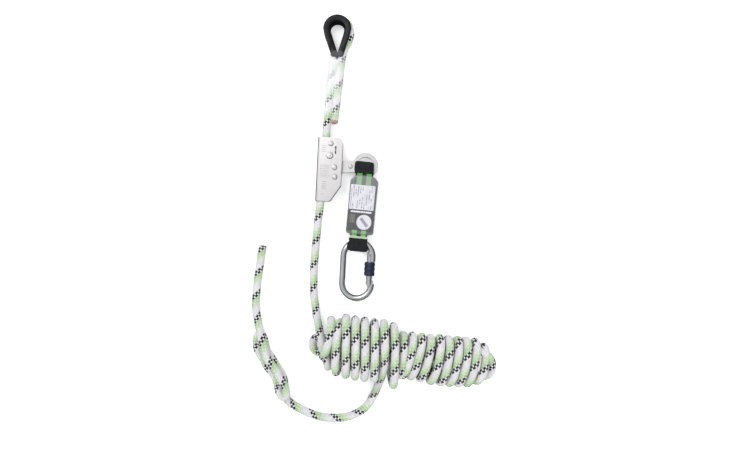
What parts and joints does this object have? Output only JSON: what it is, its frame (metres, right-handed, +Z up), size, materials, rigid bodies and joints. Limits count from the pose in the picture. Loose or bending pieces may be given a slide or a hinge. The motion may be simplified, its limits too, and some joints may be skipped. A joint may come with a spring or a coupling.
{
  "type": "rope grab fall arrester on anchor line",
  "caption": "Guided rope grab on a kernmantle anchor line with thimble eye, sprung lever, tear-webbing energy absorber, screw-gate karabiner and a hanked tail.",
  "frame": {"origin": "under the middle of the hardware (anchor eye, grab, absorber and karabiner), on the surface it lies on", "axes": "+Z up from the surface, +Y up the line towards the anchor eye, +X towards the lever and absorber"},
  "size_m": [0.4238, 0.7098, 0.0672],
  "materials": {
    "black_nylon": "satin",
    "kernmantle": "matte",
    "clear_shrink": "gloss",
    "melted_polyamide": "satin",
    "stainless_plate": "satin",
    "stainless_rivet": "satin",
    "spring_steel": "satin",
    "black_webbing": "matte",
    "green_webbing": "matte",
    "clear_vinyl": "gloss",
    "printed_label": "satin",
    "zinc_steel": "satin",
    "blue_aluminium": "satin"
  },
  "bodies": {
    "line": {"thimble": "black_nylon", "eye_rope": "kernmantle", "eye_splice": "kernmantle", "splice_sleeve": "clear_shrink", "melted_end": "melted_polyamide", "rope_run": "kernmantle", "rope_hank": "kernmantle", "rope_tail": "kernmantle", "stopper_knot": "kernmantle", "rope_end": "kernmantle"},
    "grab": {"grab_body": "stainless_plate", "top_rivet": "stainless_rivet", "guide_rivet": "stainless_rivet", "pivot_rivet": "stainless_rivet", "stop_rivet": "stainless_rivet", "pivot_spacers": "stainless_rivet", "lever_spring": "spring_steel"},
    "catch": {"gravity_slider": "spring_steel"},
    "lever": {"lever_arm": "stainless_plate", "cam_pad": "stainless_rivet", "lever_rivet": "stainless_rivet"},
    "absorber": {"upper_sleeve": "black_webbing", "upper_webbing": "green_webbing", "pack_cover": "clear_vinyl", "tear_webbing": "green_webbing", "label_sheet": "printed_label", "lower_webbing": "green_webbing", "lower_sleeve": "black_webbing"},
    "karabiner": {"karabiner_frame": "zinc_steel", "gate_hinge_pin": "stainless_rivet"},
    "gate": {"gate_tube": "zinc_steel", "gate_latch_pin": "stainless_rivet"},
    "screw_sleeve": {"lock_sleeve": "blue_aluminium"}
  },
  "joints": [
    {"name": "grab_slide", "type": "slide", "parent": "line", "child": "grab", "axis": [0.0802, 0.9968, 0], "range_m": [-0.013, 0.01]},
    {"name": "gravity_catch", "type": "slide", "parent": "grab", "child": "catch", "axis": [0.0489, 0.9988, 0], "range_m": [-0.0035, 0.0035]},
    {"name": "lever_pivot", "type": "hinge", "parent": "grab", "child": "lever", "pos_m": [-0.02105, -0.0157, 0.011], "axis": [0, 0, 1], "range_deg": [-5, 25], "stiffness_Nm_per_rad": 0.6},
    {"name": "absorber_swing", "type": "hinge", "parent": "lever", "child": "absorber", "pos_m": [0.0328, -0.01166, 0.011], "axis": [0, 0, 1], "range_deg": [-2, 45]},
    {"name": "karabiner_swing", "type": "hinge", "parent": "absorber", "child": "karabiner", "pos_m": [0.0196, -0.1703, 0.00857], "axis": [0, 0, 1], "range_deg": [-8, 15]},
    {"name": "gate_hinge", "type": "hinge", "parent": "karabiner", "child": "gate", "pos_m": [0.0395, -0.21749, 0.00862], "axis": [-0.0703, -0.0284, 0.9971], "range_deg": [0, 28], "stiffness_Nm_per_rad": 0.05},
    {"name": "sleeve_screw", "type": "slide", "parent": "gate", "child": "screw_sleeve", "axis": [0.0547, 0.998, 0.0323], "range_m": [-0.007, 0]}
  ]
}
